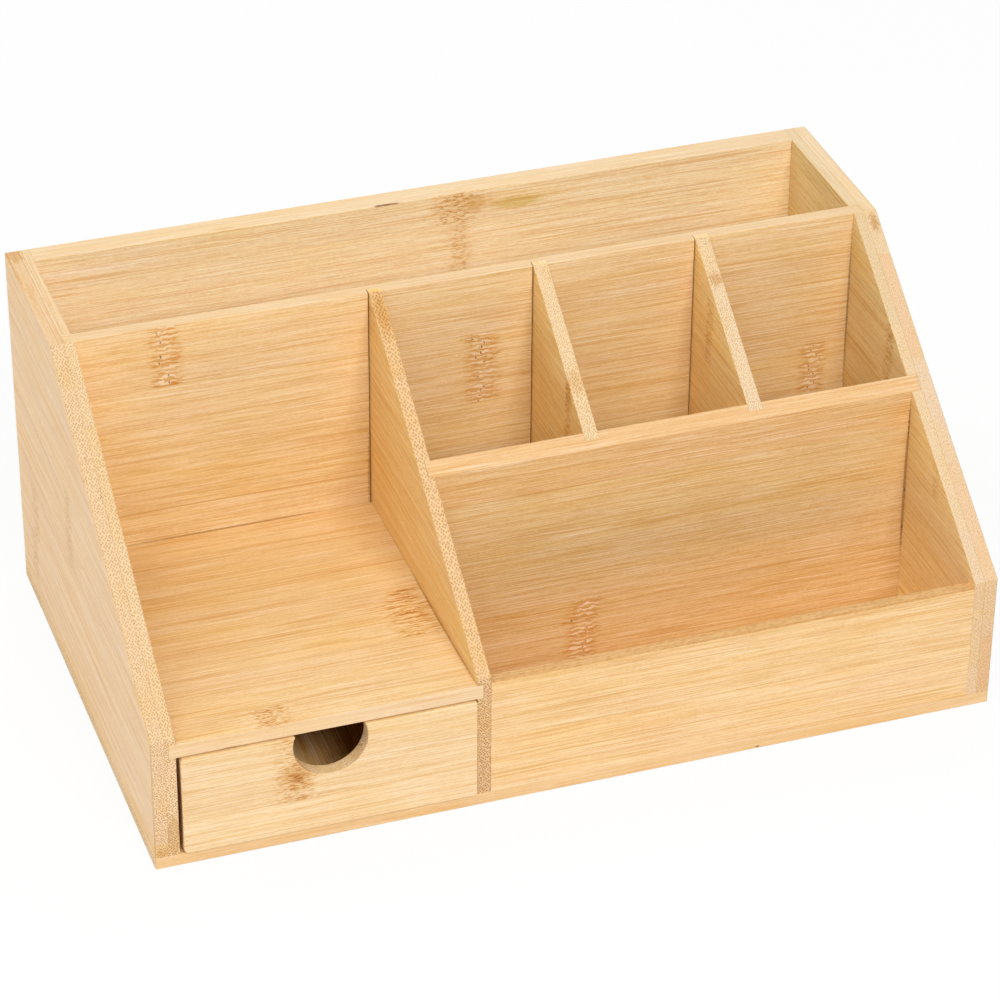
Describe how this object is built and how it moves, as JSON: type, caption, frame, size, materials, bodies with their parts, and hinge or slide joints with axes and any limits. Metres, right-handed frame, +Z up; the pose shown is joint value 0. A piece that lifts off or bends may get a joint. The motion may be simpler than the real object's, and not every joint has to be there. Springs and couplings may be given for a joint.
{
  "type": "desk organizer",
  "caption": "Laminated bamboo desk organizer with a sloping rim, a rear compartment, cells, a low front compartment and a shelf over a drawer with a finger notch.",
  "frame": {"origin": "middle of the underside of the base", "axes": "+X to the right along the width, -Y towards the user at the drawer front, +Z up"},
  "size_m": [0.35, 0.2152, 0.157],
  "materials": {
    "side_bamboo": "satin, pale laminated bamboo, grain front to back, speckled end grain on the slope",
    "wide_bamboo": "satin, laminated bamboo, grain along the width",
    "divider_bamboo": "satin, laminated bamboo, grain front to back, speckled end grain on the slope",
    "front_bamboo": "satin, laminated bamboo, grain along the width",
    "base_bamboo": "satin, laminated bamboo, grain along the width",
    "drawer_bamboo": "satin, laminated bamboo",
    "screw_steel": "zinc plated countersunk screws",
    "brad_steel": "bright steel brads"
  },
  "bodies": {
    "carcass": {"base_panel": "base_bamboo", "left_side": "side_bamboo", "right_side": "side_bamboo", "back_panel": "wide_bamboo", "rear_divider": "wide_bamboo", "bay_partition": "divider_bamboo", "cross_divider": "front_bamboo", "front_panel": "front_bamboo", "drawer_shelf": "front_bamboo", "cell_divider_1": "divider_bamboo", "cell_divider_2": "divider_bamboo", "base_screws": "screw_steel"},
    "drawer": {"drawer_front": "drawer_bamboo", "drawer_left_side": "drawer_bamboo", "drawer_right_side": "drawer_bamboo", "drawer_back": "drawer_bamboo", "drawer_bottom": "drawer_bamboo", "drawer_brads": "brad_steel"}
  },
  "joints": [
    {"name": "drawer_slide", "type": "slide", "parent": "carcass", "child": "drawer", "axis": [0, -1, 0], "range_m": [0, 0.105]}
  ]
}
